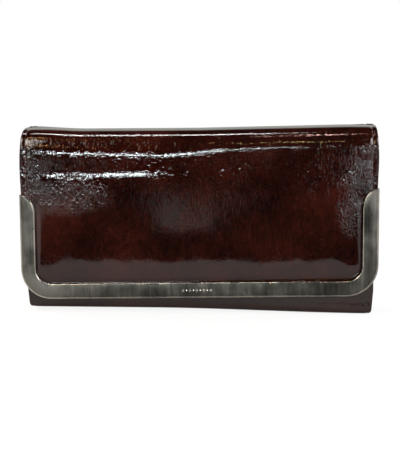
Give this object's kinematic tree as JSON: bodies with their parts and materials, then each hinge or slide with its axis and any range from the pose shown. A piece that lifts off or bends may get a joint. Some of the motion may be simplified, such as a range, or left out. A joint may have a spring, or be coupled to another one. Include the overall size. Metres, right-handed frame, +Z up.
{
  "type": "long wallet",
  "caption": "Long patent leather flap wallet with a metal-framed flap, magnetic snap, card tiers, note compartments and a zipped coin pocket.",
  "frame": {"origin": "under the middle of the closed wallet's outline, on the plane it stands on", "axes": "+X to the right along the length, -Y out of the front where the metal frame is, +Z up"},
  "size_m": [0.196, 0.03, 0.0995],
  "materials": {
    "patent_leather": "crinkled patent, high gloss",
    "lining_leather": "smooth matt",
    "filler_board": "pressed fibre",
    "thread": "waxed thread",
    "zip_tape": "woven tape",
    "gunmetal": "brushed, antique nickel plate",
    "nickel": "polished nickel plate",
    "magnet": "matt"
  },
  "bodies": {
    "back": {"back_skin": "patent_leather", "back_filler": "filler_board", "back_lining": "lining_leather", "back_stitching": "thread", "base_skin": "patent_leather", "base_board": "filler_board", "base_lining": "lining_leather", "card_tier_1": "lining_leather", "card_tier_2": "lining_leather", "card_tier_3": "lining_leather", "card_tier_4": "lining_leather", "card_stitching": "thread", "gusset_left_rear": "lining_leather", "gusset_right_rear": "lining_leather"},
    "spine": {"spine_skin": "patent_leather", "spine_filler": "filler_board", "spine_lining": "lining_leather", "spine_stitching": "thread"},
    "flap": {"flap_skin": "patent_leather", "flap_filler": "filler_board", "flap_lining": "lining_leather", "flap_stitching": "thread", "flap_frame": "gunmetal", "frame_back_plate": "nickel", "frame_rivets": "nickel", "snap_stud": "nickel", "snap_stud_washer": "nickel"},
    "front_panel": {"front_skin": "patent_leather", "front_filler": "filler_board", "front_lining": "lining_leather", "front_stitching": "thread", "snap_socket_cap": "nickel", "snap_magnet": "magnet", "snap_socket_washer": "nickel", "gusset_left_front": "lining_leather", "gusset_right_front": "lining_leather"},
    "coin_pocket": {"coin_wall_front": "lining_leather", "coin_wall_rear": "lining_leather", "coin_ends": "lining_leather", "coin_floor": "lining_leather", "coin_stitching": "thread", "zip_tape_front": "zip_tape", "zip_tape_rear": "zip_tape", "zip_teeth_front": "nickel", "zip_teeth_rear": "nickel", "zip_stops": "nickel"},
    "slider": {"zip_slider": "nickel"},
    "pull": {"zip_pull_link": "nickel", "zip_pull_tab": "patent_leather"}
  },
  "joints": [
    {"name": "flap_fold_back", "type": "hinge", "parent": "back", "child": "spine", "pos_m": [0, 0.01371, 0.09821], "axis": [-1, 0, 0], "range_deg": [0, 90]},
    {"name": "flap_fold_front", "type": "hinge", "parent": "spine", "child": "flap", "pos_m": [0, -0.01185, 0.09735], "axis": [-1, 0, 0], "range_deg": [0, 90]},
    {"name": "front_panel_open", "type": "hinge", "parent": "back", "child": "front_panel", "pos_m": [0, -0.00946, 0.00054], "axis": [1, 0, 0], "range_deg": [0, 16], "deforming": ["gusset_left_front", "gusset_right_front"]},
    {"name": "coin_pocket_open", "type": "hinge", "parent": "back", "child": "coin_pocket", "pos_m": [0, 0.002, 0.0032], "axis": [1, 0, 0], "range_deg": [0, 8], "deforming": ["gusset_left_rear", "gusset_right_rear"]},
    {"name": "zip_slide", "type": "slide", "parent": "coin_pocket", "child": "slider", "axis": [1, 0, 0], "range_m": [0, 0.148]},
    {"name": "zip_pull_swing", "type": "hinge", "parent": "slider", "child": "pull", "pos_m": [-0.074, 0.0013, 0.0785], "axis": [0, -1, 0], "range_deg": [0, 180]}
  ],
  "couplings": [
    {"joint": "flap_fold_front", "follows": "flap_fold_back", "ratio": 1},
    {"joint": "front_panel_open", "follows": "flap_fold_back", "ratio": 0.1777},
    {"joint": "coin_pocket_open", "follows": "flap_fold_back", "ratio": 0.0888}
  ]
}
